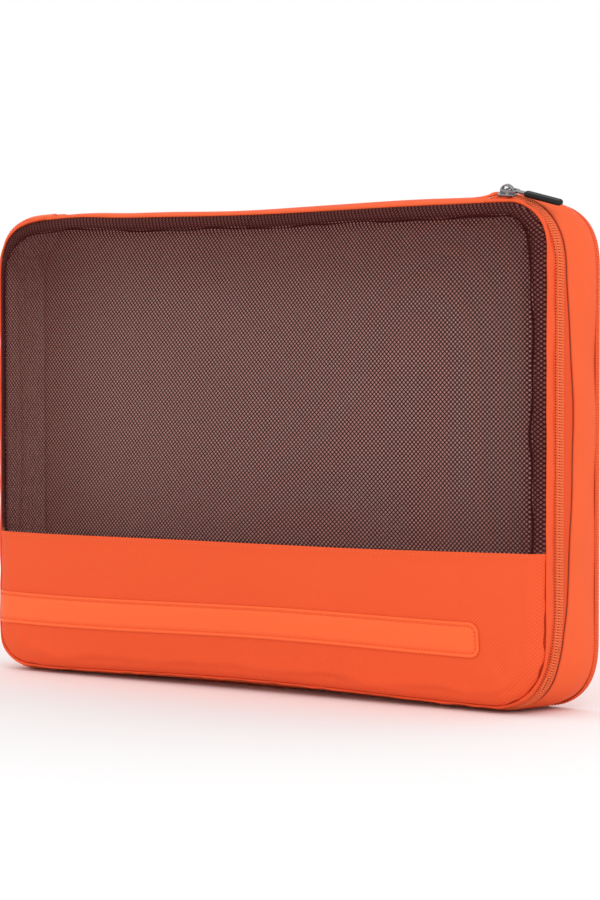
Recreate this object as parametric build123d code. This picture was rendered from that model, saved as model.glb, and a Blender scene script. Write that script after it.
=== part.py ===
from build123d import *

import os
from math import cos, radians, sin

# A soft packing cube standing on its long side: a zipped case with a mesh window in its lid.
# +X runs to the right along the width, +Y to the back and +Z up. The front, with the window, faces -Y.
# The origin is at the middle of the footprint, on the surface that the case stands on.
# The zip runs round both sides and the bottom, and its two ends turn onto the top. The fabric between
# them on top is the hinge that the lid swings on. All sizes are in millimetres.

# ---- driving sizes ----
WIDTH = 434.0
HEIGHT = 300.0
DEPTH = 60.0

FABRIC = 1.2  # thickness of the sewn walls and panels
CORNER_RADIUS = 40.0  # of the zip's line
GUSSET_OUT = 2.8  # how far the side wall stands outside the zip's line
ZIP_TO_BACK = 40.0  # from the middle of the zip to the rear edge
ZIP_TO_SEAM = 10.0  # from the middle of the zip forward to the seam of the front panel
SEAM_INSET = 5.0  # the front panel's seam lies this far inside the zip's line
FACE_INSET = 13.0  # where the sloping rim of the front panel turns into its flat face
WINDOW_SILL = 92.0  # height of the seam between the mesh and the lower panel

ZIP_TILT = 20.0  # the zip faces outwards and this many degrees to the front
ZIP_STRAIGHT = 5.5  # each end of the zip runs this far along the top before its corner
SPLIT_ANGLE = 38.0  # from the top of a corner: the lid's half of the zip moves with the lid below it
SPLIT_GAP = 0.5  # degrees of that corner left clear between the lid's pieces and the case's

# ---- the zip's own section: t runs across the tape to the back, m outwards ----
TAPE_BOTTOM, TAPE_TOP = -0.9, -0.3
COIL_TOP = 1.5
COIL_INNER, COIL_OUTER = 0.6, 2.8
TAPE_GAP = 0.55
FRONT_TAPE_EDGE = -4.5
BAND_EDGE = -5.0
BAND_TOP = 0.6
BAND_THICKNESS = 1.0
LID_GAP = 0.3  # between the lid and the case at the hinge
REAR_TAPE_EDGE = 6.4

# ---- the slider and its pull ----
SLIDER_ANGLE = 6.0  # where the slider rests, round the corner from its top
SLIDER_LENGTH = 11.0
SLIDER_WIDTH = 9.2
SLIDER_INNER_PLATE = (-2.8, -1.6)
SLIDER_OUTER_PLATE = (1.8, 2.8)
FLANGE_WIDTH = 1.0
FLANGE_LOWEST = 0.4
POST_LENGTH, POST_WIDTH = 3.0, 0.9
BRIDGE_HALF_LENGTH, BRIDGE_HEIGHT, BRIDGE_WIDTH = 4.8, 4.9, 2.4
EYE_HALF_LENGTH, EYE_HALF_HEIGHT, EYE_RISE = 2.5, 1.7, 2.1
PULL_DROOP = 9.5  # the pull rests this many degrees below the slider's plates
PULL_LENGTH = 36.5  # from its pivot to its tip
LINK_BAR = 1.1
LINK_ARM_IN, LINK_ARM_OUT = 1.6, 2.6
LINK_FORK = 5.4
LINK_LENGTH = 16.5
GRIP_START = 11.5
GRIP_WIDTH, GRIP_THICKNESS, GRIP_RADIUS = 5.4, 3.2, 2.4

# ---- the trim strip on the lower panel ----
TRIM_THICKNESS = 0.8
TRIM_HEIGHT = 20.0
TRIM_MIDDLE = 45.0
TRIM_RIGHT_END = 172.0
TRIM_END_RADIUS = 7.0

# ---- places that follow from the sizes above ----
ZIP_Y = DEPTH / 2 - ZIP_TO_BACK
SEAM_Y = ZIP_Y - ZIP_TO_SEAM
FACE_Y = -DEPTH / 2 + TRIM_THICKNESS
BACK_Y = DEPTH / 2
HALF = WIDTH / 2 - GUSSET_OUT
BOTTOM = GUSSET_OUT
TOP = HEIGHT - GUSSET_OUT
CORNER_X = HALF - CORNER_RADIUS
CORNER_TOP_Z = TOP - CORNER_RADIUS
CORNER_BOTTOM_Z = BOTTOM + CORNER_RADIUS
ZIP_END = CORNER_X - ZIP_STRAIGHT
BINDING_Y = BACK_Y - 4.0
RIM_LINE = [(-FACE_INSET, FACE_Y), (-SEAM_INSET, SEAM_Y)]

os.makedirs("parts", exist_ok=True)


# ---- helpers: sections are (n, y) points, n outwards from the zip's line and y along the depth ----
def zip_point(t, m):
    """A point of the zip's own section as (n, y)."""
    tilt = radians(ZIP_TILT)
    return (t * sin(tilt) + m * cos(tilt), ZIP_Y + t * cos(tilt) - m * sin(tilt))


def zip_strip(t_low, t_high, m_low, m_high):
    """The four corners of a flat strip in the zip's section."""
    corners = ((t_low, m_low), (t_high, m_low), (t_high, m_high), (t_low, m_high))
    return [zip_point(t, m) for t, m in corners]


def sheet_section(line, thickness):
    """A sheet's section: its outer line, then the same line moved inwards by the thickness."""
    (n1, y1), (n2, y2) = line
    length = ((n2 - n1) ** 2 + (y2 - y1) ** 2) ** 0.5
    dn, dy = -(y2 - y1) / length * thickness, (n2 - n1) / length * thickness
    return [(n1, y1), (n2, y2), (n2 + dn, y2 + dy), (n1 + dn, y1 + dy)]


def corner_arc(corner_z, start, end):
    """An arc of the zip's line round a right-hand corner, with angles from +X towards +Z."""
    centre = Vector(CORNER_X, 0, corner_z)

    def at(angle):
        turn = radians(angle)
        return centre + Vector(cos(turn), 0, sin(turn)) * CORNER_RADIUS

    return ThreePointArc(at(start), at((start + end) / 2), at(end))


def lower_path(corner_end, top_end=None):
    """Half of the zip's line from the middle of the bottom, up the right side and round the corner."""
    edges = [
        Line((0, 0, BOTTOM), (CORNER_X, 0, BOTTOM)),
        corner_arc(CORNER_BOTTOM_Z, -90, 0),
        Line((HALF, 0, CORNER_BOTTOM_Z), (HALF, 0, CORNER_TOP_Z)),
        corner_arc(CORNER_TOP_Z, 0, corner_end),
    ]
    if top_end is not None:
        edges.append(Line((CORNER_X, 0, TOP), (top_end, 0, TOP)))
    return Wire([edge.edge() for edge in edges])


def both_sides(half):
    """A half on the right joined to its mirror image on the left."""
    return half + mirror(half, about=Plane.YZ)


def round_bottom(points, corner_end=90, top_end=None):
    """A section carried round the bottom and both sides, as far as it is told."""
    section = make_face(Polyline(*[(0, y, BOTTOM - n) for n, y in points], close=True))
    return both_sides(sweep(section, path=lower_path(corner_end, top_end)))


def zip_end_piece(points, side):
    """A section carried from one end of the zip over the top to where the lid's half starts."""
    section = make_face(Polyline(*[(ZIP_END, y, TOP + n) for n, y in points], close=True))
    edges = [
        Line((ZIP_END, 0, TOP), (CORNER_X, 0, TOP)),
        corner_arc(CORNER_TOP_Z, 90, 90 - SPLIT_ANGLE),
    ]
    right = sweep(section, path=Wire([edge.edge() for edge in edges]))
    return right if side > 0 else mirror(right, about=Plane.YZ)


def along_top(points, x_low, x_high):
    """A section carried straight along the top."""
    section = make_face(Polyline(*[(x_low, y, TOP + n) for n, y in points], close=True))
    return extrude(section, amount=x_high - x_low, dir=(1, 0, 0))


def panel(n, y_low, y_high):
    """A flat panel with the case's rounded outline, n outside the zip's line."""
    outline = RectangleRounded(2 * (HALF + n), TOP - BOTTOM + 2 * n, CORNER_RADIUS + n)
    plane = Plane(origin=(0, y_low, (TOP + BOTTOM) / 2), x_dir=(1, 0, 0), z_dir=(0, 1, 0))
    return extrude(plane * outline, amount=y_high - y_low)


def block(low, high):
    """A box between two corners."""
    sizes = [b - a for a, b in zip(low, high)]
    return Pos(*[(a + b) / 2 for a, b in zip(low, high)]) * Box(*sizes)


def save(shape, name):
    export_step(shape, f"parts/{name}.step")


# ---- the case: rear wall, side walls and their edges ----
def make_back_panel():
    return panel(0.3, BACK_Y - FABRIC, BACK_Y)


def make_rear_binding():
    """The woven tape folded over the rear seam, all the way round."""
    return panel(GUSSET_OUT, BINDING_Y, BACK_Y) - panel(0.4, BINDING_Y - 1, BACK_Y + 1)


def make_side_gusset():
    """The long wall from one end of the zip, round the bottom, to the other."""
    front = zip_point(REAR_TAPE_EDGE, TAPE_BOTTOM)[1] + 0.1
    inner = GUSSET_OUT - FABRIC
    wall = [(GUSSET_OUT, front), (GUSSET_OUT, BINDING_Y), (inner, BINDING_Y), (inner, front)]
    return round_bottom(wall, top_end=ZIP_END)


def make_hinge_gusset():
    """The one piece of fabric from the lid's seam over the top to the back, between the zip's ends."""
    inner = GUSSET_OUT - FABRIC
    front = SEAM_Y + LID_GAP
    outer_line = [(-SEAM_INSET, front), zip_point(BAND_EDGE, BAND_TOP), (GUSSET_OUT, ZIP_Y + 6)]
    inner_line = [(inner, ZIP_Y + 6.2), (-2.1, ZIP_Y - 4.2), (-SEAM_INSET - 0.8, front + 0.6)]
    points = [*outer_line, (GUSSET_OUT, BINDING_Y), (inner, BINDING_Y), *inner_line]
    return along_top(points, -ZIP_END, ZIP_END)


def make_zip_garage(side):
    """The folded tab that covers one end of the zip and is sewn to the fabric beside it."""
    tab = along_top(zip_strip(-4.4, 5.6, COIL_TOP + 0.1, COIL_TOP + 1.5), ZIP_END - 4, ZIP_END + 2)
    foot = along_top(zip_strip(-4.4, 5.6, BAND_TOP + 0.1, COIL_TOP + 0.1), ZIP_END - 4, ZIP_END - 0.1)
    right = tab + foot
    return right if side > 0 else mirror(right, about=Plane.YZ)


# ---- the zip ----
def make_rear_zip_tape():
    strip = zip_strip(TAPE_GAP, REAR_TAPE_EDGE, TAPE_BOTTOM, TAPE_TOP)
    return round_bottom(strip, top_end=ZIP_END)


def make_rear_zip_coil():
    strip = zip_strip(COIL_INNER, COIL_OUTER, TAPE_TOP, COIL_TOP)
    return round_bottom(strip, top_end=ZIP_END)


def front_tape_section():
    return zip_strip(FRONT_TAPE_EDGE, -TAPE_GAP, TAPE_BOTTOM, TAPE_TOP)


def front_coil_section():
    return zip_strip(-COIL_OUTER, -COIL_INNER, TAPE_TOP, COIL_TOP)


def front_band_section(start):
    """The band from the front seam out to the zip, starting at the given place along the depth."""
    line = [(-SEAM_INSET, start), zip_point(BAND_EDGE, BAND_TOP)]
    return sheet_section(line, BAND_THICKNESS)


# ---- the lid ----
def make_front_shell():
    """The lid's front sheet: a flat face with a sloping rim down to the seam."""
    rim = sheet_section(RIM_LINE, FABRIC)
    rim[2] = (rim[2][0], SEAM_Y)
    return round_bottom(rim, top_end=0) + panel(-FACE_INSET, FACE_Y, FACE_Y + FABRIC)


def make_lid_seam_binding():
    """The narrow tape that covers the front seam inside the lid."""
    (n1, y1), (n2, y2) = RIM_LINE
    line = [(n1 + part * (n2 - n1), y1 + part * (y2 - y1)) for part in (0.35, 0.8)]
    near = sheet_section(line, FABRIC + 0.1)
    far = sheet_section(line, FABRIC + 0.7)
    return round_bottom([near[3], near[2], far[2], far[3]], top_end=0)


def above_sill(shape):
    return shape & block((-WIDTH, -DEPTH, WINDOW_SILL), (WIDTH, DEPTH, 2 * HEIGHT))


def below_sill(shape):
    return shape & block((-WIDTH, -DEPTH, -HEIGHT), (WIDTH, DEPTH, WINDOW_SILL))


def make_trim_strip():
    """The smooth strip across the lower panel, round at its right end."""
    left = -(HALF - FACE_INSET)
    low, high = TRIM_MIDDLE - TRIM_HEIGHT / 2, TRIM_MIDDLE + TRIM_HEIGHT / 2
    strip = block((left, -DEPTH / 2, low), (TRIM_RIGHT_END, FACE_Y, high))
    ends = strip.edges().filter_by(Axis.Y).sort_by(Axis.X)[-2:]
    return fillet(ends, TRIM_END_RADIUS)


def make_window_seam_tape():
    """The narrow tape inside the lid that covers the seam between the mesh and the lower panel."""
    reach = HALF - FACE_INSET - 6
    back = FACE_Y + FABRIC
    return block((-reach, back, WINDOW_SILL - 6), (reach, back + 0.6, WINDOW_SILL + 2))


# ---- the slider and its pull, made lying along X with the zip's t as Y and m as Z ----
def make_slider_body():
    """Two plates joined by a post, with flanges that hold the coils."""

    def plate(span):
        outline = RectangleRounded(SLIDER_LENGTH, SLIDER_WIDTH, 2.4)
        return extrude(Pos(0, 0, span[0]) * outline, amount=span[1] - span[0])

    gap = (SLIDER_INNER_PLATE[1], SLIDER_OUTER_PLATE[0])
    post_x = -SLIDER_LENGTH / 2 + 1.0
    half_post = POST_WIDTH / 2
    body = plate(SLIDER_INNER_PLATE) + plate(SLIDER_OUTER_PLATE)
    body += block((post_x, -half_post, gap[0]), (post_x + POST_LENGTH, half_post, gap[1]))
    edge = SLIDER_WIDTH / 2
    for side in (-1, 1):
        y_low, y_high = sorted((side * edge, side * (edge - FLANGE_WIDTH)))
        reach = SLIDER_LENGTH / 2 - 2.4
        body += block((-reach, y_low, FLANGE_LOWEST), (reach, y_high, gap[1]))
    rims = body.faces().sort_by(Axis.Z)[-1].edges()
    return fillet(rims, 0.4)


def make_slider_bridge():
    """The arch on the slider that the pull hangs from."""
    plane = Plane(origin=(0, -BRIDGE_WIDTH / 2, 0), x_dir=(1, 0, 0), z_dir=(0, -1, 0))
    plate_top = SLIDER_OUTER_PLATE[1]
    arch = Pos(0, plate_top) * Ellipse(BRIDGE_HALF_LENGTH, BRIDGE_HEIGHT)
    eye = Pos(0, plate_top + EYE_RISE) * Ellipse(EYE_HALF_LENGTH, EYE_HALF_HEIGHT)
    above = Pos(0, plate_top + BRIDGE_HEIGHT / 2) * Rectangle(2 * BRIDGE_HALF_LENGTH, BRIDGE_HEIGHT)
    profile = (arch & above) - eye
    solid = extrude(plane * profile, amount=-BRIDGE_WIDTH)
    rims = solid.edges().filter_by(GeomType.ELLIPSE)
    return fillet(rims, 0.45)


def make_pull_link():
    """The metal fork: a cross bar through the arch's eye, two arms and the shank inside the grip."""
    half_bar = LINK_BAR / 2
    link = block((LINK_FORK, -LINK_ARM_OUT, -half_bar), (LINK_FORK + 1.4, LINK_ARM_OUT, half_bar))
    for side in (-1, 1):
        y_low, y_high = sorted((side * LINK_ARM_IN, side * LINK_ARM_OUT))
        link += block((0, y_low, -half_bar), (LINK_FORK, y_high, half_bar))
    link += block((LINK_FORK, -1.6, -half_bar), (LINK_LENGTH, 1.6, half_bar))
    bar = Cylinder(half_bar, 2 * LINK_ARM_OUT, rotation=(90, 0, 0))
    return link + bar


def make_pull_grip():
    """The moulded grip, with a pocket for the shank."""
    length = PULL_LENGTH - GRIP_START
    middle = GRIP_START + length / 2
    half_bar = LINK_BAR / 2
    grip = extrude(RectangleRounded(length, GRIP_WIDTH, GRIP_RADIUS), amount=GRIP_THICKNESS)
    grip = fillet(grip.faces().filter_by(Axis.Z).edges(), 1.5)
    grip = Pos(middle, 0, -GRIP_THICKNESS / 2) * grip
    pocket_low, pocket_high = (GRIP_START - 1, -1.6, -half_bar), (LINK_LENGTH, 1.6, half_bar)
    return grip - block(pocket_low, pocket_high)


def on_zip(shape):
    """Moves something made on the zip's section to the slider's place round the corner."""
    tilt = radians(ZIP_TILT)
    top = Plane(origin=(CORNER_X, ZIP_Y, TOP), x_dir=(1, 0, 0), z_dir=(0, -sin(tilt), cos(tilt)))
    centre = Location((CORNER_X, ZIP_Y, CORNER_TOP_Z))
    turn = centre * Rotation(0, SLIDER_ANGLE, 0) * centre.inverse()
    return turn * (top * shape)


def on_bridge(shape):
    """Moves something made about the pull's pivot to the arch's eye, hanging at its droop."""
    eye = Pos(0, 0, SLIDER_OUTER_PLATE[1] + EYE_RISE)
    return on_zip(eye * Rotation(0, PULL_DROOP, 0) * shape)


# ---- one file for each sub-part ----
save(make_back_panel(), "back_panel")
save(make_rear_binding(), "rear_binding")
save(make_side_gusset(), "side_gusset")
save(make_hinge_gusset(), "hinge_gusset")
for side_name, side_sign in (("right", 1), ("left", -1)):
    save(make_zip_garage(side_sign), f"zip_garage_{side_name}")

save(make_rear_zip_tape(), "rear_zip_tape")
save(make_rear_zip_coil(), "rear_zip_coil")
for side_name, side_sign in (("right", 1), ("left", -1)):
    end_band = front_band_section(SEAM_Y + LID_GAP)
    save(zip_end_piece(end_band, side_sign), f"front_band_end_{side_name}")
    save(zip_end_piece(front_tape_section(), side_sign), f"front_tape_end_{side_name}")
    save(zip_end_piece(front_coil_section(), side_sign), f"front_coil_end_{side_name}")

lid_end = 90 - SPLIT_ANGLE - SPLIT_GAP
save(round_bottom(front_band_section(SEAM_Y), corner_end=lid_end), "front_band")
save(round_bottom(front_tape_section(), corner_end=lid_end), "front_zip_tape")
save(round_bottom(front_coil_section(), corner_end=lid_end), "front_zip_coil")

front_shell = make_front_shell()
save(above_sill(front_shell), "mesh_window")
save(below_sill(front_shell), "lower_panel")
save(make_trim_strip(), "trim_strip")
save(make_lid_seam_binding(), "lid_seam_binding")
save(make_window_seam_tape(), "window_seam_tape")

save(on_zip(make_slider_body()), "slider_body")
save(on_zip(make_slider_bridge()), "slider_bridge")
save(on_bridge(make_pull_link()), "pull_link")
save(on_bridge(make_pull_grip()), "pull_grip")
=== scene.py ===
import math

import bpy
import numpy as np
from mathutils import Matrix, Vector


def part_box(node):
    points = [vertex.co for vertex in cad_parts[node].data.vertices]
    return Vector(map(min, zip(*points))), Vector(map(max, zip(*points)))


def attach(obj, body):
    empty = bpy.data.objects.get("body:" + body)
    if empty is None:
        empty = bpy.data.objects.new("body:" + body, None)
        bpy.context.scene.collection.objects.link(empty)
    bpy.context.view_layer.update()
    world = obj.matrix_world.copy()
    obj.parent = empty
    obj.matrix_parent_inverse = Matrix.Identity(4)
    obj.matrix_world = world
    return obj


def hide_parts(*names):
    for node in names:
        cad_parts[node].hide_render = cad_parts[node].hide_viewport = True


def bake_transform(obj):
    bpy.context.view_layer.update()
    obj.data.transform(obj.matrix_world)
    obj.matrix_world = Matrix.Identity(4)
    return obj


# A soft packing cube: a zipped case whose lid has a net window over a plain woven panel.
# Metres, +X right, +Y to the back, +Z up. The soft pieces are laid out along the zip's line in a tidy
# shape first, and settle() then gives all of them the same sag, bulge and bow.

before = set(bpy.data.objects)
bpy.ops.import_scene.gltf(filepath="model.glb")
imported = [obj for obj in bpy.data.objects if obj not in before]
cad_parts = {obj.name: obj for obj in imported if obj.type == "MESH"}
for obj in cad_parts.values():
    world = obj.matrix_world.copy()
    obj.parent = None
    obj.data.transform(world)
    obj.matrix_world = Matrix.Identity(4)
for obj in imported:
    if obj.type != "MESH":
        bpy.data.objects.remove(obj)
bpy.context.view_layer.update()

MM = 0.001
QUARTER_TURN = math.pi / 2

# ---- sizes, from the CAD ----
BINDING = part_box("rear_binding")
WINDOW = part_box("mesh_window")
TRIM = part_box("trim_strip")
HEIGHT = BINDING[1].z
BACK = BINDING[1].y
SEAM_Y = WINDOW[1].y
SILL = WINDOW[0].z
ZIP_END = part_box("hinge_gusset")[1].x
GUSSET_OUT = 2.8 * MM  # the side wall stands this far outside the zip's line
HALF = BINDING[1].x - GUSSET_OUT
ZIP_LOW, ZIP_HIGH = GUSSET_OUT, HEIGHT - GUSSET_OUT
ZIP_Y = SEAM_Y + 10 * MM
RADIUS = 40 * MM
ZIP_TILT = math.radians(20)
MIDDLE = (ZIP_LOW + ZIP_HIGH) / 2
# how far the front seam lies inside the zip's line, and its corners: the front leans to the right a little
SEAM_RIGHT, SEAM_LEFT = 3.3 * MM, 5.6 * MM
SEAM_TOP, SEAM_LOW = 1.9 * MM, 0.9 * MM
SEAM_RADIUS_RIGHT, SEAM_RADIUS_LOW_RIGHT, SEAM_RADIUS_LEFT = 27 * MM, 36 * MM, 38 * MM
TRIM_MIDDLE = (TRIM[0].z + TRIM[1].z) / 2
TRIM_HALF_HIGH = (TRIM[1].z - TRIM[0].z) / 2 + 0.4 * MM
TRIM_RIGHT = TRIM[1].x - 0.5 * MM
TOOTH_PITCH = 1.6 * MM

# ---- the lid's front ----
RIM_DEEP, RIM_WIDE = 5.5 * MM, 7.0 * MM
PUFF = 9.5 * MM
NET_A, NET_B = 2.72 * MM, 2.76 * MM  # one repeat of the net, across and up
NET_OPEN = 0.65  # the side of a hole as a share of the net's diamond
SILL_RISE = 1.6 * MM  # how much higher the panel's top edge runs at the right

# ---- how the soft case stands ----
BACK_SQUARE, BACK_HANG = 3.6 * MM, 4.2 * MM  # the back's squarer corners and its hanging top edge
DRAWN_IN, DRAWN_IN_LOW = 1.7 * MM, 1.8 * MM  # the zip's sides between the corners, and low at the right
LEFT_SQUARE_SEAM, LEFT_SQUARE_ZIP, LEFT_SQUARE_LOW = 3.6 * MM, 4.2 * MM, 7.0 * MM
TOP_SAG, TOP_RISE, TOP_SLOPE = 1.8 * MM, 1.2 * MM, 1.0 * MM
BOTTOM_BOW = 3.1 * MM
FLOOR_GAP = 0.1 * MM


# ================= shape =================
def step(x, low, high):
    """0 below low, 1 above high, and smooth between."""
    t = np.clip((x - low) / (high - low), 0, 1)
    return t * t * (3 - 2 * t)


def bump(x, middle, reach):
    """A smooth hump, 1 at the middle and 0 beyond its reach."""
    return 0.5 + 0.5 * np.cos(math.pi * np.clip((x - middle) / reach, -1, 1))


def ripple(points, seed, size, count=9):
    """Smooth random unevenness from -1 to 1, with features of about the given size."""
    random = np.random.default_rng(seed)
    total = np.zeros(len(points))
    for _ in range(count):
        direction = random.normal(size=3)
        direction /= np.linalg.norm(direction)
        length = size * random.uniform(0.7, 1.6)
        total += np.sin(points @ direction * 2 * math.pi / length + random.uniform(0, 6.28))
    return total / math.sqrt(count)


def face_ripple(x, z, seed, size):
    """Unevenness of an upright face, by place across and up it."""
    return ripple(np.stack([x, x * 0, z], -1).reshape(-1, 3), seed, size).reshape(np.shape(x))


def settle(points):
    """The soft shape that the whole case takes as it stands."""
    x, y, z = points.T
    side, upper = np.sign(x), z > MIDDLE
    up = np.where(upper, 1, -1)
    out = np.array(points, float)
    # the back's corners are squarer than the zip's, and its top edge hangs a little
    dx = np.clip(np.abs(x) - (HALF - RADIUS), 0, None)
    dz = np.where(upper, z - (ZIP_HIGH - RADIUS), ZIP_LOW + RADIUS - z).clip(0)
    diagonal = np.sin(2 * np.arctan2(dz, dx)) ** 2 * step(np.hypot(dx, dz), 0.5 * RADIUS, 0.95 * RADIUS)
    square = diagonal * BACK_SQUARE / RADIUS * step(y, -0.004, 0.016)
    out[:, 0] += side * dx * square
    out[:, 2] += up * dz * square
    out[:, 2] -= BACK_HANG * step(y, -0.002, 0.028) * step(z, 0.2, 0.29)
    # the zip's sides are drawn in between the corners, and its left corners are squarer
    drawn = DRAWN_IN * step(ZIP_HIGH - z, 0.004, 0.036) * step(z - ZIP_LOW, 0.002, 0.03)
    drawn += DRAWN_IN_LOW * bump(z, 0.033, 0.03) * (x > 0)
    drawn *= step(y, -0.0205, -0.0135) * (1 - step(y, -0.002, 0.016)) * step(np.abs(x), 0.1, 0.19)
    out[:, 0] -= side * drawn
    left = diagonal / RADIUS * (1 - step(y, -0.004, 0.016)) * (x < 0)
    at_top = np.where(y > SEAM_Y + 0.5 * MM, LEFT_SQUARE_ZIP, LEFT_SQUARE_SEAM)
    left = left * np.where(upper, at_top, LEFT_SQUARE_LOW)
    out[:, 0] += side * dx * left
    out[:, 2] += up * dz * left
    sag = TOP_SAG * bump(x, -0.005, 0.14) * step(z, 0.16, 0.29)
    rise = TOP_RISE * bump(x, -0.142, 0.045) * step(z, 0.2, 0.29)
    slope = TOP_SLOPE * step(x, -0.06, 0.13) * step(z, 0.25, 0.293) * (1 - step(y, -0.0195, -0.014))
    bow = BOTTOM_BOW * bump(x, -0.005, 0.19) * (1 - step(z, 0.0, 0.13)) * (1 - step(y, -0.012, 0.016))
    out[:, 2] += bow - sag + rise - slope
    out[:, 2] = np.maximum(out[:, 2], FLOOR_GAP)  # it rests on the floor
    return out


def outline(along):
    """Place (x, z) and outward direction on the zip's line, by length from the middle of the bottom."""
    side = np.where(along < 0, -1.0, 1.0)
    a = np.abs(along)
    flat = HALF - RADIUS
    quarter = RADIUS * QUARTER_TURN
    upright = ZIP_HIGH - ZIP_LOW - 2 * RADIUS
    low = np.clip((a - flat) / RADIUS, 0, QUARTER_TURN)
    high = np.clip((a - flat - quarter - upright) / RADIUS, 0, QUARTER_TURN)
    top = np.clip(a - flat - 2 * quarter - upright, 0, None)
    x = np.minimum(a, flat) + RADIUS * (np.sin(low) + np.cos(high) - 1) - top
    z = ZIP_LOW + RADIUS * (1 - np.cos(low) + np.sin(high)) + np.clip(a - flat - quarter, 0, upright)
    turn = low + high
    return x * side, z, np.sin(turn) * side, -np.cos(turn)


TOP_MIDDLE = 2 * (HALF - RADIUS) + 2 * RADIUS * QUARTER_TURN + ZIP_HIGH - ZIP_LOW - 2 * RADIUS
ZIP_STOP = TOP_MIDDLE - ZIP_END


def zip_point(t, m):
    """A point of the zip's section, t across the tape to the back and m outwards, as (n, y)."""
    s, c = math.sin(ZIP_TILT), math.cos(ZIP_TILT)
    return (t * s + m * c, ZIP_Y + t * c - m * s)


def lay(along, section):
    """Points of a section (n, y) at each place along the zip's line, as a grid of rows along it.
    The section is one for all places, or one for each."""
    x, z, nx, nz = outline(along)
    section = np.array(section, float)
    n, y = section[..., 0], section[..., 1]
    grid = np.empty((len(along), n.shape[-1], 3))
    grid[:, :, 0] = x[:, None] + nx[:, None] * n
    grid[:, :, 1] = y
    grid[:, :, 2] = z[:, None] + nz[:, None] * n
    return grid


SEAM_MIDDLE = (ZIP_HIGH - SEAM_TOP + ZIP_LOW + SEAM_LOW) / 2
SEAM_UP = (ZIP_HIGH - SEAM_TOP - ZIP_LOW - SEAM_LOW) / 2


def seam_side(x, z):
    """Half the front's width and its corner radius, in the quarter that a point is in."""
    half = HALF - np.where(x > 0, SEAM_RIGHT, SEAM_LEFT)
    right = np.where(z > SEAM_MIDDLE, SEAM_RADIUS_RIGHT, SEAM_RADIUS_LOW_RIGHT)
    return half, np.where(x > 0, right, SEAM_RADIUS_LEFT)


def inward(x, z):
    """How far a point of the front lies inside the front seam."""
    half, radius = seam_side(x, z)
    qx = np.abs(x) - (half - radius)
    qz = np.abs(z - SEAM_MIDDLE) - (SEAM_UP - radius)
    outside = np.hypot(np.maximum(qx, 0), np.maximum(qz, 0))
    return radius - outside - np.minimum(np.maximum(qx, qz), 0)


def seam_edge(z, side):
    """Where the front's left (-1) or right (1) edge is at a height."""
    half, radius = seam_side(side, z)
    past = np.clip(np.abs(z - SEAM_MIDDLE) - (SEAM_UP - radius), 0, radius)
    return side * (half - radius + np.sqrt(radius**2 - past**2))


def seam_offset(along, depth=0.0):
    """How far outside the zip's line the front seam lies, or a line that runs inside it at a depth."""
    x, z, nx, nz = outline(along)
    n = np.zeros(len(along))
    for _ in range(14):
        n += 0.8 * (inward(x + nx * n, z + nz * n) - depth)
    return n


def front_y(x, z):
    """The lid's front surface: a sloping rim, a crease and a gently puffed face."""
    uneven = face_ripple(x, z, 3, 30 * MM)
    wide = RIM_WIDE * (1 + 0.25 * step(z, 0.24, 0.29) + 0.6 * step(-x, 0.15, 0.2)) + uneven * 0.8 * MM
    depth = inward(x, z)
    d = np.clip(depth, 0, None) / wide
    rim = np.clip(1.12 * d - 0.12 * d**3, 0, None) * (d < 1) + (d >= 1)
    valley = np.exp(-(((d - 0.98) / 0.17) ** 2)) * (0.8 + 0.5 * uneven)
    ridge = np.exp(-(((d - 1.45) / 0.32) ** 2)) * 0.5
    corner = step(np.abs(x), 0.165, 0.2) * step(np.abs(z - MIDDLE), 0.1, 0.135)
    groove = np.exp(-((depth / (1.5 * MM)) ** 2)) * (1.8 + corner * (1.6 + 1.2 * uneven)) * MM
    u = np.clip(np.abs(x) / (HALF - 9 * MM), 0, 1)
    w = np.clip(np.abs(z - MIDDLE) / (MIDDLE - 10 * MM), 0, 1)
    puff = (1 - u**4) * (1 - w**3.4)
    slack = face_ripple(x, z, 4, 150 * MM) * 0.5 * MM * step(d, 1, 5)
    return SEAM_Y - RIM_DEEP * rim - PUFF * puff + (valley - ridge) * 0.8 * MM + groove + slack


# ================= meshes =================
def collect(obj):
    bpy.context.scene.collection.objects.link(obj)
    return obj


def build(name, points, faces, materials, uv=None, slots=None):
    """A mesh object from points, faces of one size, and the cloth's own coordinates in metres."""
    faces = np.asarray(faces, np.int32)
    corners = faces.shape[1]
    mesh = bpy.data.meshes.new(name)
    mesh.vertices.add(len(points))
    mesh.vertices.foreach_set("co", np.asarray(points, np.float32).ravel())
    mesh.loops.add(faces.size)
    mesh.loops.foreach_set("vertex_index", faces.ravel())
    mesh.polygons.add(len(faces))
    mesh.polygons.foreach_set("loop_start", np.arange(len(faces), dtype=np.int32) * corners)
    mesh.polygons.foreach_set("use_smooth", np.ones(len(faces), bool))
    if slots is not None:
        mesh.polygons.foreach_set("material_index", np.asarray(slots, np.int32))
    if uv is not None:
        layer = mesh.uv_layers.new(name="cloth")
        layer.data.foreach_set("uv", np.asarray(uv, np.float32)[faces.ravel()].ravel())
    mesh.update(calc_edges=True)
    mesh.validate()
    for material in materials:
        mesh.materials.append(material)
    return collect(bpy.data.objects.new(name, mesh))


def grid_faces(rows, columns, flip=False):
    """Quads of a grid of points."""
    index = np.arange(rows * columns).reshape(rows, columns)
    a, b, c, d = index[:-1, :-1], index[1:, :-1], index[1:, 1:], index[:-1, 1:]
    order = (a, b, c, d) if flip else (a, d, c, b)
    return np.stack(order, -1).reshape(-1, 4)


def bake(obj):
    """Applies an object's modifiers."""
    graph = bpy.context.evaluated_depsgraph_get()
    mesh = bpy.data.meshes.new_from_object(obj.evaluated_get(graph))
    obj.modifiers.clear()
    obj.data = mesh
    return obj


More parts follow.
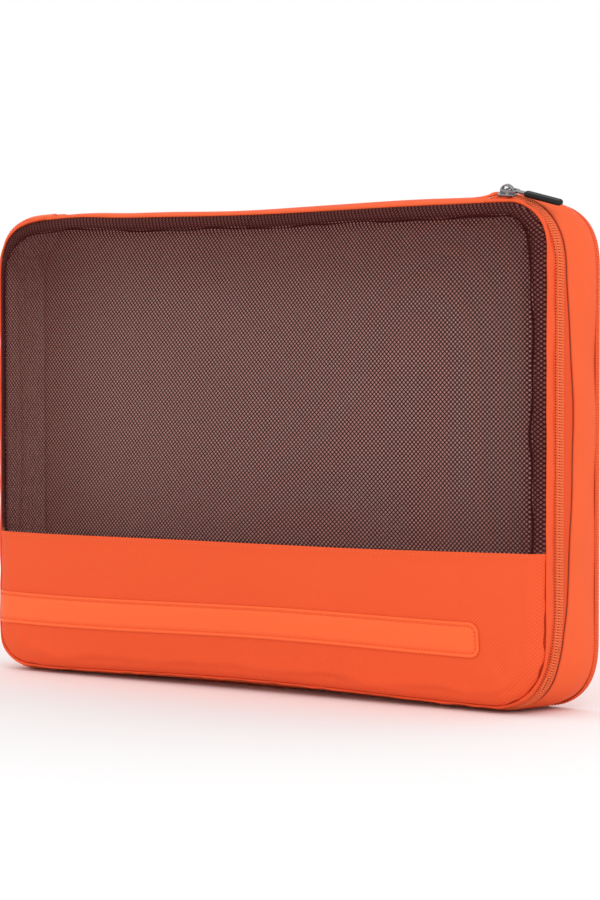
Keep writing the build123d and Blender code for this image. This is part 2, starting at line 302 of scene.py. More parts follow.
def sheet(name, grid, uv, materials, thickness=0.7 * MM, flip=False, lined=False):
    """A sheet of cloth with an outer face, an inner face and edges, from a grid of points. The edges of a
    lined cloth show its inner face."""
    rows, columns = grid.shape[:2]
    faces = grid_faces(rows, columns, flip)
    obj = build(name, settle(grid.reshape(-1, 3)), faces, materials, uv.reshape(-1, 2))
    thick = obj.modifiers.new("thickness", "SOLIDIFY")
    thick.thickness = thickness
    thick.offset = -1
    thick.material_offset = 1 if len(materials) > 1 else 0
    thick.material_offset_rim = 1 if lined else 0
    return bake(obj)


def run(start, stop, spacing):
    """Evenly spaced places from start to stop."""
    return np.linspace(start, stop, max(2, int(round(abs(stop - start) / spacing)) + 1))


def section_lengths(section):
    """Length along a section at each of its points."""
    steps = np.hypot(*np.diff(np.array(section, float), axis=0).T)
    return np.concatenate([[0], np.cumsum(steps)])


def strip(name, along, section, materials, thickness=0.7 * MM, pucker=None, lined=False):
    """A strip of cloth laid along the zip's line. pucker is how much it puckers, the seed and the size of
    the puckers, and the share of them that each point of the section takes."""
    grid = lay(along, section)
    section = np.array(section, float)
    lengths = section_lengths(section if section.ndim == 2 else section[len(section) // 2])
    uv = np.stack(np.broadcast_arrays(along[:, None], lengths[None, :]), -1)
    if pucker:
        uneven, seed, size, share = pucker
        x, z, nx, nz = outline(along)
        out = np.stack([nx, nx * 0 - 0.4, nz], -1)[:, None, :]
        amount = ripple(grid.reshape(-1, 3), seed, size).reshape(grid.shape[:2]) * uneven * share
        grid = grid + out * amount[:, :, None]
    return sheet(name, grid, uv, materials, thickness, lined=lined)


def sections(along, make, count):
    """One smooth section for each place along the zip's line. make(k) gives the points at place k."""
    return np.stack([curve_points(make(k), count) for k in range(len(along))])


def curve_points(points, count):
    """A smooth line through points, resampled."""
    points = np.asarray(points, float)
    lengths = np.concatenate([[0], np.cumsum(np.linalg.norm(np.diff(points, axis=0), axis=1))])
    samples = 400
    fine = np.linspace(0, lengths[-1], samples)
    line = np.stack([np.interp(fine, lengths, points[:, k]) for k in range(points.shape[1])], -1)
    width = 25  # of the window that rounds the corners
    kernel = np.hanning(width + 2)[1:-1]
    kernel /= kernel.sum()
    padded = np.concatenate([np.repeat(line[:1], width // 2, 0), line, np.repeat(line[-1:], width // 2, 0)])
    smooth = np.stack([np.convolve(padded[:, k], kernel, "valid") for k in range(points.shape[1])], -1)
    smooth[0], smooth[-1] = points[0], points[-1]
    at = np.linspace(0, samples - 1, count)
    return np.stack([np.interp(at, np.arange(samples), smooth[:, k]) for k in range(points.shape[1])], -1)


def tube_mesh(paths, radii, sides):
    """Points and faces of many round bars. paths is (bars, points, 3), radii one per point."""
    paths = np.asarray(paths, float)
    bars, count = paths.shape[:2]
    ahead = np.gradient(paths, axis=1)
    ahead /= np.linalg.norm(ahead, axis=2, keepdims=True)
    helper = np.where(np.abs(ahead[:, :, 1:2]) > 0.9, [[[1.0, 0, 0]]], [[[0, 1.0, 0]]])
    right = np.cross(ahead, helper)
    right /= np.linalg.norm(right, axis=2, keepdims=True)
    up = np.cross(right, ahead)
    angle = np.arange(sides) * 2 * math.pi / sides
    radii = np.asarray(radii, float)[None, :, None, None]
    ring = np.cos(angle)[None, None, :, None] * right[:, :, None, :]
    ring = ring + np.sin(angle)[None, None, :, None] * up[:, :, None, :]
    points = (paths[:, :, None, :] + ring * radii).reshape(-1, 3)
    base = (np.arange(bars)[:, None, None] * count + np.arange(count - 1)[None, :, None]) * sides
    k = np.arange(sides)[None, None, :]
    nxt = (k + 1) % sides
    quads = np.stack([base + k, base + nxt, base + sides + nxt, base + sides + k], -1).reshape(-1, 4)
    return points, quads


def stitches(name, line, normal, material, length=2.3 * MM, pitch=3.0 * MM, radius=0.24 * MM):
    """A row of stitches along a line of points, each one dipping into the cloth at its ends."""
    line = np.asarray(line, float)
    lengths = np.concatenate([[0], np.cumsum(np.linalg.norm(np.diff(line, axis=0), axis=1))])
    starts = np.arange(0.3 * pitch, lengths[-1] - length, pitch)
    share = np.array([0, 0.14, 0.5, 0.86, 1.0])
    lift = np.array([-0.25, 0.1, 0.2, 0.1, -0.25]) * MM
    at = starts[:, None] + share[None, :] * length
    paths = np.stack([np.interp(at, lengths, line[:, k]) for k in range(3)], -1)
    normal = np.asarray(normal, float)
    if normal.ndim == 1:
        outwards = np.broadcast_to(normal, paths.shape)
    else:
        outwards = np.stack([np.interp(at, lengths, normal[:, k]) for k in range(3)], -1)
    paths = paths + outwards * lift[None, :, None]
    return build(name, *tube_mesh(paths, radius * np.array([0.6, 1, 1, 1, 0.6]), 5), [material])


def along_line(along, n, y):
    """A line beside the zip's, settled, with its outward direction."""
    x, z, nx, nz = outline(along)
    points = np.stack([x + nx * n, y + x * 0, z + nz * n], -1)
    return settle(points), np.stack([nx, nx * 0, nz], -1)


# ================= materials =================
def node(tree, kind, **values):
    made = tree.nodes.new(kind)
    for key, value in values.items():
        if key in made.inputs:
            made.inputs[key].default_value = value
        else:
            setattr(made, key, value)
    return made


def math_node(tree, operation, a, b=None):
    made = tree.nodes.new("ShaderNodeMath")
    made.operation = operation
    for socket, value in zip(made.inputs, (a, b)):
        if value is None:
            continue
        if isinstance(value, (int, float)):
            socket.default_value = value
        else:
            tree.links.new(value, socket)
    return made.outputs[0]


def wave(tree, value, period):
    """A sine of a coordinate in metres."""
    return math_node(tree, "SINE", math_node(tree, "MULTIPLY", value, 2 * math.pi / period))


def start_material(name, roughness, metallic=0.0, specular=0.5):
    material = bpy.data.materials.new(name)
    material.use_nodes = True
    tree = material.node_tree
    shader = tree.nodes["Principled BSDF"]
    shader.inputs["Roughness"].default_value = roughness
    shader.inputs["Metallic"].default_value = metallic
    shader.inputs["Specular IOR Level"].default_value = specular
    return material, tree, shader


def scaled(colour, factor):
    return tuple(min(1.0, c * factor) for c in colour) + (1.0,)


def cloth(name, colour, pattern, shades, relief, roughness=0.75, tone=0.04, patchy=False):
    """Woven cloth. pattern builds a value from -1 to 1 out of the cloth's own coordinates. shades are the
    darkest and lightest factors on the colour, tone is a broad change, and a patchy weave fades."""
    dark, light = shades
    material, tree, shader = start_material(name, roughness, specular=0.15)
    uv = node(tree, "ShaderNodeUVMap", uv_map="cloth")
    split = node(tree, "ShaderNodeSeparateXYZ")
    tree.links.new(uv.outputs[0], split.inputs[0])
    woven = pattern(tree, split.outputs[0], split.outputs[1])
    place = node(tree, "ShaderNodeTexCoord").outputs["Object"]
    broad = node(tree, "ShaderNodeTexNoise", Scale=14.0, Detail=3.0, Roughness=0.55)
    fine = node(tree, "ShaderNodeTexNoise", Scale=900.0, Detail=2.0, Roughness=0.6)
    tree.links.new(place, broad.inputs["Vector"])
    tree.links.new(place, fine.inputs["Vector"])
    fuzz = math_node(tree, "MULTIPLY", math_node(tree, "SUBTRACT", fine.outputs[0], 0.5), 1.1)
    drift = math_node(tree, "MULTIPLY", math_node(tree, "SUBTRACT", broad.outputs[0], 0.5), 2.0)
    if patchy:
        clear = math_node(tree, "ADD", math_node(tree, "MULTIPLY", drift, 1.6), 0.75)
        woven = math_node(tree, "MULTIPLY", woven, math_node(tree, "MINIMUM", clear, 1.0))
    height = math_node(tree, "ADD", woven, math_node(tree, "MULTIPLY", fuzz, 0.5))
    shade = math_node(tree, "ADD", math_node(tree, "MULTIPLY", height, 0.5), 0.5)
    shade = math_node(tree, "ADD", shade, math_node(tree, "MULTIPLY", drift, tone / (light - dark)))
    ramp = node(tree, "ShaderNodeValToRGB")
    ramp.color_ramp.elements[0].color = scaled(colour, dark)
    ramp.color_ramp.elements[1].color = scaled(colour, light)
    tree.links.new(shade, ramp.inputs[0])
    tree.links.new(ramp.outputs[0], shader.inputs["Base Color"])
    rough = math_node(tree, "ADD", roughness, math_node(tree, "MULTIPLY", fuzz, 0.12))
    tree.links.new(rough, shader.inputs["Roughness"])
    raised = node(tree, "ShaderNodeBump", Strength=relief, Distance=0.3 * MM)
    tree.links.new(height, raised.inputs["Height"])
    tree.links.new(raised.outputs[0], shader.inputs["Normal"])
    return material


def diamonds(a, b):
    """A diagonal weave with two knots in each repeat of a by b."""
    return lambda tree, u, v: math_node(tree, "MULTIPLY", wave(tree, u, a), wave(tree, v, b))


def ribs(period, cross=0.35 * MM):
    """Ribs that run across the strip, each made of fine threads."""

    def pattern(tree, u, v):
        fine = math_node(tree, "MULTIPLY", wave(tree, v, cross), 0.25)
        return math_node(tree, "ADD", math_node(tree, "MULTIPLY", wave(tree, u, period), 0.75), fine)

    return pattern


def herringbone(period, turn):
    """Slanting threads that change direction across the tape."""

    def pattern(tree, u, v):
        return wave(tree, math_node(tree, "ADD", u, math_node(tree, "PINGPONG", v, turn)), period)

    return pattern


def fibre(name, colour, roughness, specular=0.05, shades=(0.7, 1.15), scale=2600.0, relief=0.3):
    """Thread, coil or moulded plastic: a fine irregular grain with no direction of its own."""
    material, tree, shader = start_material(name, roughness, specular=specular)
    place = node(tree, "ShaderNodeTexCoord").outputs["Object"]
    grain = node(tree, "ShaderNodeTexNoise", Scale=scale, Detail=3.0, Roughness=0.6)
    tree.links.new(place, grain.inputs["Vector"])
    ramp = node(tree, "ShaderNodeValToRGB")
    ramp.color_ramp.elements[0].position = 0.3
    ramp.color_ramp.elements[1].position = 0.7
    ramp.color_ramp.elements[0].color = scaled(colour, shades[0])
    ramp.color_ramp.elements[1].color = scaled(colour, shades[1])
    tree.links.new(grain.outputs[0], ramp.inputs[0])
    tree.links.new(ramp.outputs[0], shader.inputs["Base Color"])
    raised = node(tree, "ShaderNodeBump", Strength=relief, Distance=0.1 * MM)
    tree.links.new(grain.outputs[0], raised.inputs["Height"])
    tree.links.new(raised.outputs[0], shader.inputs["Normal"])
    return material


def metal(name, colour, roughness):
    """Bright plated metal with fine handling marks."""
    material, tree, shader = start_material(name, roughness, metallic=1.0)
    place = node(tree, "ShaderNodeTexCoord").outputs["Object"]
    cloudy = node(tree, "ShaderNodeTexNoise", Scale=700.0, Detail=4.0, Roughness=0.65)
    tree.links.new(place, cloudy.inputs["Vector"])
    spread = math_node(tree, "MULTIPLY", math_node(tree, "SUBTRACT", cloudy.outputs[0], 0.5), 0.35)
    tree.links.new(math_node(tree, "ADD", roughness, spread), shader.inputs["Roughness"])
    ramp = node(tree, "ShaderNodeValToRGB")
    ramp.color_ramp.elements[0].color = scaled(colour, 0.82)
    ramp.color_ramp.elements[1].color = scaled(colour, 1.06)
    tree.links.new(cloudy.outputs[0], ramp.inputs[0])
    tree.links.new(ramp.outputs[0], shader.inputs["Base Color"])
    raised = node(tree, "ShaderNodeBump", Strength=0.04, Distance=0.05 * MM)
    tree.links.new(cloudy.outputs[0], raised.inputs["Height"])
    tree.links.new(raised.outputs[0], shader.inputs["Normal"])
    return material


plain_weave = diamonds(0.9 * MM, 0.8 * MM)
woven = diamonds(2.4 * MM, 2.3 * MM)
fine_weave = diamonds(0.5 * MM, 0.5 * MM)
PANEL = cloth("woven_panel", (0.87, 0.105, 0.030), woven, (0.86, 1.04), 0.28, patchy=True)
WALL = cloth("plain_wall", (0.90, 0.125, 0.037), plain_weave, (0.88, 1.05), 0.2, roughness=0.7, tone=0.09)
BAND = cloth("front_band", (0.85, 0.103, 0.029), plain_weave, (0.94, 1.03), 0.12, roughness=0.7)
SMOOTH = cloth("smooth_trim", (0.95, 0.145, 0.040), fine_weave, (0.96, 1.03), 0.06, roughness=0.6)
COATING = cloth("pale_coating", (0.77, 0.495, 0.45), plain_weave, (0.93, 1.05), 0.15, roughness=0.6)
RIBBED = cloth("ribbed_tape", (0.92, 0.118, 0.034), ribs(1.5 * MM), (0.80, 1.05), 0.6)
TAPE = cloth("zip_tape", (0.88, 0.098, 0.028), herringbone(0.9 * MM, 1.1 * MM), (0.82, 1.05), 0.4)
LINING_TAPE = cloth("lining_tape", (0.55, 0.30, 0.27), ribs(1.5 * MM), (0.85, 1.05), 0.4)
# painted shade: the dark cloth of the sheet behind the net's rim stands in for the shade inside the rim
RIM_SHADE_CLOTH = cloth("net_rim_painted_shade", (0.19, 0.075, 0.066), plain_weave, (0.7, 1.3), 0.3, tone=0.25)
NET = fibre("net_thread", (0.045, 0.006, 0.006), 0.9, 0.03, (0.75, 1.25), scale=1500.0)
COIL = fibre("zip_coil", (1.0, 0.205, 0.078), 0.6, 0.12, (0.92, 1.08))
CORE = fibre("coil_core", (0.98, 0.15, 0.048), 0.8)
THREAD = fibre("sewing_thread", (0.95, 0.20, 0.08), 0.7, 0.4)
DARK_THREAD = fibre("dark_thread", (0.85, 0.095, 0.029), 0.8, 0.1)
# painted shade: the near-black cord along the net's crease stands in for the shadow there
CREASE_SHADE = fibre("crease_painted_shade", (0.03, 0.010, 0.009), 0.9)
# painted shade: the dark lines beside the coils and under the wall's fold stand in for the shadow in those
# gaps
ZIP_SHADE = fibre("zip_shade_line", (0.26, 0.050, 0.036), 0.9)
# painted shade: the dark-orange line in the panel's seam crease stands in for the shadow there
SEAM_CREASE_SHADE = fibre("seam_crease_painted_shade", (0.42, 0.030, 0.010), 0.9)
SILVER = metal("bright_metal", (0.27, 0.27, 0.28), 0.2)
RUBBER = fibre("black_rubber", (0.008, 0.008, 0.008), 0.38, 0.22, (0.8, 1.4), scale=1800.0, relief=0.1)

# ================= the case =================
zip_run = run(-ZIP_STOP, ZIP_STOP, 3 * MM)
whole_run = run(-TOP_MIDDLE, TOP_MIDDLE, 3 * MM)


def keep(piece, body, slot, *replaced, sewn_to=None, carries=()):
    """Puts a piece on its body, or applies the transform of a hinge piece, one that turns from the case to
    the lid, and hides the CAD parts that it stands for. sewn_to and carries are not used."""
    if body == "hinge":
        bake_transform(piece)
    else:
        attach(piece, body)
    if replaced:
        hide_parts(*replaced)
    return piece


def mm(*points):
    """A section given in millimetres, n and then y behind the middle of the zip."""
    return [(n * MM, ZIP_Y + y * MM) for n, y in points]


def fold_back(along):
    """How far behind the zip's middle the wall's folded edge runs: furthest back at mid height."""
    z = outline(along)[1]
    wander = 0.35 * np.sin(along / 0.019) + 0.25 * np.sin(along / 0.0083 + 1)
    return (5.6 + 6.6 * bump(z, 0.155, 0.13) + wander) * MM


REAR_EDGE = [(1.0, 37.4), (0.2, 39), (-1.4, 39.6)]  # where a wall turns in under the rear binding


def make_gusset():
    """The side and bottom wall, from its folded edge over the zip to the rear binding."""
    back = fold_back(zip_run) / MM

    def section(k):
        f = back[k]
        n = 1.3 + 0.12 * (f - 5.6)
        fold = [(n - 0.7, f + 0.7), (n - 0.5, f + 0.1), (n + 0.2, f), (n + 0.7, f + 0.7), (n + 1.0, f + 2)]
        wall = [(2.7, 16), (2.8, 22), (2.6, 28), (2.2, 32), (1.5, 35)]
        return mm(*fold, *wall, *REAR_EDGE)

    count = 26
    hold = np.interp(np.linspace(0, 1, count), [0, 0.08, 0.3, 0.75, 0.9, 1], [0.1, 0.3, 1, 1, 0.2, 0])
    shape = sections(zip_run, section, count)
    pucker = (0.8 * MM, 11, 60 * MM, hold)
    return strip("gusset_wall", zip_run, shape, [WALL, COATING], pucker=pucker, lined=True)


def band_front(n):
    """The front edge of the band and of the hinge fabric: it turns in behind the front seam."""
    turned_in = np.array([(-1.3, 1.6), (-0.7, -0.1), (0.1, -0.5)]) * MM
    return [(n + across, SEAM_Y + y) for across, y in turned_in]


def make_hinge_fabric():
    """The top fabric, between the zip's two ends: the lid swings on its front edge."""
    along = run(ZIP_STOP - 1 * MM, 2 * TOP_MIDDLE - ZIP_STOP + 1 * MM, 3 * MM)
    flat = np.where(along > TOP_MIDDLE, along - 2 * TOP_MIDDLE, along)
    seam = seam_offset(flat)
    top = [(0.1, -4), (0.9, 0), (1.2, 6), (1.4, 12), (1.5, 20), (1.4, 30)]

    def section(k):
        over = [(seam[k] + 1.4 * MM, SEAM_Y + 2 * MM)]
        return band_front(seam[k]) + over + mm(*top, *REAR_EDGE)

    shape = sections(flat, section, 32)
    grid = lay(flat, shape)
    lengths = section_lengths(shape[0])
    uv = np.stack(np.broadcast_arrays(along[:, None], lengths[None, :]), -1)
    share = np.clip(np.sin(math.pi * lengths / lengths[-1]), 0, 1)[None, :]
    amount = ripple(grid.reshape(-1, 3), 12, 80 * MM).reshape(grid.shape[:2]) * 0.45 * MM * share
    grid[:, :, 2] += amount
    return sheet("hinge_fabric", grid, uv, [WALL, COATING], lined=True)


def make_rear_binding():
    """The ribbed tape round the back's edge."""
    side = [(1.75, 35.1), (2.05, 35.3), (2.3, 36.2), (2.4, 38)]
    back = [(2.1, 39.5), (1.3, 40.2), (0.0, 40.3), (-1.8, 40.2)]
    section = mm(*side, *back)
    return strip("rear_binding_tape", whole_run, curve_points(section, 16), [RIBBED], 0.5 * MM)


def make_back():
    """The plain rear wall, inside the zip's outline."""
    rows, columns = run(ZIP_LOW, ZIP_HIGH, 4 * MM), np.linspace(-1, 1, 90)
    past = np.clip(np.abs(rows - MIDDLE) - ((ZIP_HIGH - ZIP_LOW) / 2 - RADIUS), 0, RADIUS)
    half = HALF - RADIUS + np.sqrt(RADIUS**2 - past**2)
    x = half[:, None] * columns[None, :]
    z = np.repeat(rows[:, None], len(columns), 1)
    inside = np.clip(half[:, None] - np.abs(x), 0, None) / HALF
    y = BACK - 0.6 * MM - 0.5 * MM * face_ripple(x, z, 21, 160 * MM) * step(inside, 0, 0.2)
    uv = np.stack([x, z], -1)
    return sheet("back_wall", np.stack([x, y, z], -1), uv, [WALL, COATING], flip=True, lined=True)


binding = keep(make_rear_binding(), "case", "grosgrain", "rear_binding")
keep(make_gusset(), "case", "case_fabric", "side_gusset", sewn_to="rear_binding_tape")
keep(make_hinge_fabric(), "case", "case_fabric", "hinge_gusset", sewn_to="rear_binding_tape")
keep(make_back(), "case", "case_fabric", "back_panel", sewn_to="rear_binding_tape", carries=[binding])


# ================= the zip =================
def make_front_tape():
    """The lid's half of the zip's tape."""
    section = [zip_point(t * MM, m * MM) for t, m in ((-5.2, -0.75), (-2.6, -0.5), (-0.04, -0.3))]
    return strip("front_tape", zip_run, curve_points(section, 7), [TAPE, COATING], 0.4 * MM)


def make_rear_tape():
    """The case's half of the zip's tape: it reaches back under the wall's folded edge."""
    back = fold_back(zip_run)

    def section(k):
        flat = [zip_point(t * MM, m * MM) for t, m in ((0.04, -0.3), (2.6, -0.5), (4.4, -0.65))]
        n = 1.0 * MM + 0.12 * (back[k] - 5.6 * MM)
        return flat + [(n, ZIP_Y + back[k]), (n, ZIP_Y + back[k] + 6 * MM)]

    return strip("rear_tape", zip_run, sections(zip_run, section, 12), [TAPE, COATING], 0.4 * MM)


def make_coil(name, side):
    """One side's coil: a row of loops that reach over to the other side's."""
    t = np.array([2.35, 2.7, 2.35, 1.55, 0.7, -0.25]) * MM * side
    m = np.array([-0.25, 0.3, 0.85, 1.05, 0.95, 0.75]) * MM
    lean = np.array([0, 0.05, 0.15, 0.25, 0.3, 0.3]) * MM * side
    offset = 0 if side > 0 else TOOTH_PITCH / 2
    places = np.arange(1 * MM - ZIP_STOP + offset, ZIP_STOP - 1 * MM, TOOTH_PITCH)
    paths = np.empty((len(places), len(t), 3))
    for k in range(len(t)):
        n, y = zip_point(t[k], m[k])
        x, z, nx, nz = outline(places + lean[k])
        paths[:, k] = np.stack([x + nx * n, np.full(len(x), y), z + nz * n], -1)
    paths = settle(paths.reshape(-1, 3)).reshape(paths.shape)
    teeth, tooth_faces = tube_mesh(paths, np.array([0.5, 0.52, 0.52, 0.52, 0.52, 0.46]) * MM, 6)
    n, y = zip_point(1.5 * MM * side, 0.4 * MM)
    line, _ = along_line(zip_run, n, y)
    core, core_faces = tube_mesh(line[None], np.full(len(line), 0.84 * MM), 8)
    faces = np.concatenate([tooth_faces, core_faces + len(teeth)])
    slots = np.repeat([0, 1], [len(tooth_faces), len(core_faces)])
    return build(name, np.concatenate([teeth, core]), faces, [COIL, CORE], slots=slots)


def make_band():
    """The band between the zip and the front seam: it faces out at the sides and slopes at the top."""
    seam = seam_offset(zip_run)
    turned_edge = np.array([(-5.6, 0.9), (-4.2, 0.85), (-3.3, 0.6), (-3.2, 0.0), (-3.4, -0.3)]) * MM
    edge = [zip_point(t, m) for t, m in turned_edge]

    def section(k):
        return band_front(seam[k]) + [(seam[k] * 0.8 + 0.9 * MM, SEAM_Y + 2.2 * MM)] + edge

    count = 24
    shape = sections(zip_run, section, count)
    hold = np.interp(np.linspace(0, 1, count), [0, 0.15, 0.3, 0.7, 0.85, 1], [0, 0.4, 1, 1, 0.3, 0.1])
    pucker = (0.3 * MM, 31, 15 * MM, hold)
    return strip("front_band_cloth", zip_run, shape, [BAND, COATING], 0.5 * MM, pucker)


keep(make_rear_tape(), "case", "zip_tape", "rear_zip_tape", sewn_to="gusset_wall")
front_tape = keep(make_front_tape(), "hinge", "zip_tape",
                  "front_zip_tape", "front_tape_end_right", "front_tape_end_left")
keep(make_coil("rear_coil", 1), "case", "zip_coil", "rear_zip_coil")
keep(make_coil("front_coil", -1), "hinge", "zip_coil",
     "front_zip_coil", "front_coil_end_right", "front_coil_end_left")
keep(make_band(), "hinge", "case_fabric", "front_band", "front_band_end_right", "front_band_end_left",
     sewn_to="lid_seam_tape", carries=[front_tape])


def make_garage(side):
    """The folded tab over one end of the zip: it rises out of the top and ends in a slanting, rolled
    lip. The left one lies flatter."""
    front, back = -6.6, 6.4
    across = np.linspace(front, back, 27)
    forward = np.linspace(0, 1, 25)
    lip = ZIP_END + np.interp(across, [front, -1, back], [-5.0, 1.5, 4.0]) * MM
    x = lip[None, :] - (1 - forward[:, None]) * 9.0 * MM
    rise = 0.4 + (2.0 if side > 0 else 0.3) * step(forward, 0.0, 0.65)[:, None]
    arch = 1 - 0.55 * (np.abs(across)[None, :] / abs(front)) ** 2.2
    rolled = step(forward, 0.9, 1.0)[:, None] * 0.5
    crease = 0.25 * np.sin(across / 1.3)[None, :] * step(forward, 0.2, 0.7)[:, None]
    m = (rise * arch - rolled + crease) * MM
    t = across[None, :] * MM
    s, c = math.sin(ZIP_TILT), math.cos(ZIP_TILT)
    tilted = t * s * (1 if side > 0 else 0.3) + m * c
    root = np.interp(across, [front, -4, 0, back], [-1.2, 0.2, 1.0, 1.35])[None, :] * MM
    loose = step(forward, 0.0, 0.7)[:, None]
    grid = np.empty(x.shape + (3,))
    grid[:, :, 0] = x * side
    grid[:, :, 1] = ZIP_Y + t * c - m * s * loose
    grid[:, :, 2] = ZIP_HIGH + root * (1 - loose) + tilted * loose
    uv = np.stack([x, np.broadcast_to(t, x.shape)], -1)
    name = "zip_garage_tab_right" if side > 0 else "zip_garage_tab_left"
    return sheet(name, grid, uv, [WALL, COATING], 0.6 * MM, flip=side > 0)


keep(make_garage(1), "case", "case_fabric", "zip_garage_right", sewn_to="hinge_fabric")
keep(make_garage(-1), "case", "case_fabric", "zip_garage_left", sewn_to="hinge_fabric")


# ================= the lid =================
def front_points(x, z, lift=0.0):
    """Points on the lid's front, lifted off it."""
    return np.stack([x, front_y(x, z) - lift, z], -1)


def net_lean(x, z):
    """How far the net's columns lean over to the left of the middle."""
    return 0.11 * (1 - step(x, -0.04, 0.15)) * (z - 0.19)


def net_knots(ci, cj, low):
    """The net's knots, each one once, and for each diamond which four knots it hangs between."""
    corners = np.array([(1, 0), (0, 1), (-1, 0), (0, -1)])
    pairs = np.stack([ci[:, None] + corners[:, 0], cj[:, None] + corners[:, 1]], -1)
    knots, place = np.unique(pairs.reshape(-1, 2), axis=0, return_inverse=True)
    x, z = knots[:, 0] * NET_A / 2, low + knots[:, 1] * NET_B / 2
    sway = np.random.default_rng(5).normal(scale=0.05 * MM, size=(2, len(x)))
    return np.stack([x + sway[0] + net_lean(x, z), z + sway[1]], -1), place.reshape(len(ci), 4)


def trim_to_seam(flat):
    """Draws points that lie past the front seam back onto it."""
    reach = 0.1 * MM
    for _ in range(3):
        x, z = flat.T
        slope_x = (inward(x + reach, z) - inward(x - reach, z)) / (2 * reach)
        slope_z = (inward(x, z + reach) - inward(x, z - reach)) / (2 * reach)
        past = np.minimum(inward(x, z), 0)
        flat = flat - np.stack([slope_x * past, slope_z * past], -1)
    return flat


def make_net():
    """The net: diamonds of knitted thread, cut to the seam and tucked behind the lower panel."""
    half_a, half_b = NET_A / 2, NET_B / 2
    low = SILL - 5 * MM
    columns = np.arange(-int(HALF / half_a) - 9, int(HALF / half_a) + 9)
    rows = np.arange(0, int((ZIP_HIGH - low) / half_b) + 2)
    i, j = np.meshgrid(columns, rows)
    holes = (i + j) % 2 == 1
    ci, cj = i[holes], j[holes]
    x, z = ci * half_a, low + cj * half_b
    inside = inward(x + net_lean(x, z), z) > -0.5 * half_b
    ci, cj = ci[inside], cj[inside]
    outer, place = net_knots(ci, cj, low)
    middle = outer[place].mean(1, keepdims=True)
    depth = inward(middle[:, 0, 0], middle[:, 0, 1])
    # painted shade: the holes close up near the rim, more so near the top, so less pale coating shows and
    # the net reads darker there, standing in for the shade beside the rim
    rim_shade_zone = step(depth, 5 * MM, 8 * MM) * (1 - step(depth, 8 * MM, 17 * MM))
    open_share = NET_OPEN + 0.03 * (1 - step(middle[:, 0, 0], -0.2, 0))  # looser to the left
    open_share -= rim_shade_zone * (0.06 + 0.04 * step(middle[:, 0, 1], 0.18, 0.26))
    inner = middle + (outer[place] - middle) * open_share[:, None, None]
    flat = trim_to_seam(np.concatenate([outer, inner.reshape(-1, 2)]))
    behind = 0.9 * MM * (1 - step(flat[:, 1], SILL - 1 * MM, SILL + 5 * MM))
    points = front_points(flat[:, 0], flat[:, 1], -behind)
    points[: len(outer), 1] -= 0.16 * MM
    start = len(outer) + np.arange(len(ci))[:, None] * 4 + np.arange(4)[None, :]
    faces = []
    for k in range(4):
        n = (k + 1) % 4
        faces.append(np.stack([place[:, k], place[:, n], start[:, n], start[:, k]], -1))
    faces = np.concatenate(faces)
    return build("net_window", settle(points), faces, [NET], flat)


def crease_depth(along, z):
    """How far inside the front seam the net's crease runs: it wanders, and lies deeper near the top."""
    return (6.8 + 1.6 * step(z, 0.24, 0.29) + 0.5 * np.sin(along / 0.017)) * MM


def make_net_rim_shade():
    """A dark sheet behind the net's rim, between the front seam and the crease: painted shade, standing in
    for the shade inside the rim.
    """
    x, z, nx, nz = outline(whole_run)
    deep = np.array([0.05, 0.3, 0.55, 0.8, 1.0])[:, None] * crease_depth(whole_run, z)[None, :]
    n = np.stack([seam_offset(whole_run, row) for row in deep], -1)
    grid = front_points(x[:, None] + nx[:, None] * n, z[:, None] + nz[:, None] * n, -0.9 * MM)
    uv = np.stack(np.broadcast_arrays(whole_run[:, None], deep.T), -1)
    return sheet("net_rim_shade_sheet", grid, uv, [RIM_SHADE_CLOTH], 0.4 * MM)


def make_crease_shade_cord():
    """A dark cord along the net's crease, at the inner edge of the rim's shade sheet: painted shade,
    standing in for the shadow in the crease.
    """
    along = run(-TOP_MIDDLE, TOP_MIDDLE, 2 * MM)
    x, z, nx, nz = outline(along)
    n = seam_offset(along, crease_depth(along, z) + (0.8 + 0.3 * np.sin(along / 0.0061)) * MM)
    x, z = x + nx * n, z + nz * n
    shown = z > SILL - 4 * MM
    points = settle(front_points(x, z, -1.0 * MM)[shown])
    thick = (0.65 + 0.22 * np.sin(along[shown] / 0.009)) * (0.7 + 0.4 * step(points[:, 0], 0.1, 0.2)) * MM
    return build("net_crease_shade_cord", *tube_mesh(points[None], thick, 8), [CREASE_SHADE])


def panel_y(x, z):
    """The lower panel's surface: it lies on the front, with soft wrinkles and a puckered lower edge."""
    d = inward(x, z)
    lift = np.interp(z, [SILL - 6 * MM, SILL - 1 * MM], [0.3, 0.9]) * MM
    wrinkle = face_ripple(x, z, 41, 60 * MM) * 0.3 * MM * step(d, 0, 12 * MM)
    corner = face_ripple(x, z, 42, 15 * MM) * 0.7 * MM
    corner = corner * step(np.abs(x), 0.14, 0.2) * (1 - step(z, 0.02, 0.055)) * step(d, 0, 4 * MM)
    return front_y(x, z) - lift + wrinkle + corner


def sill_rise(x, z):
    """How much higher the panel runs at its right, near its top edge."""
    return SILL_RISE * step(x, 0.05, 0.2) * step(z, 0.06, SILL)


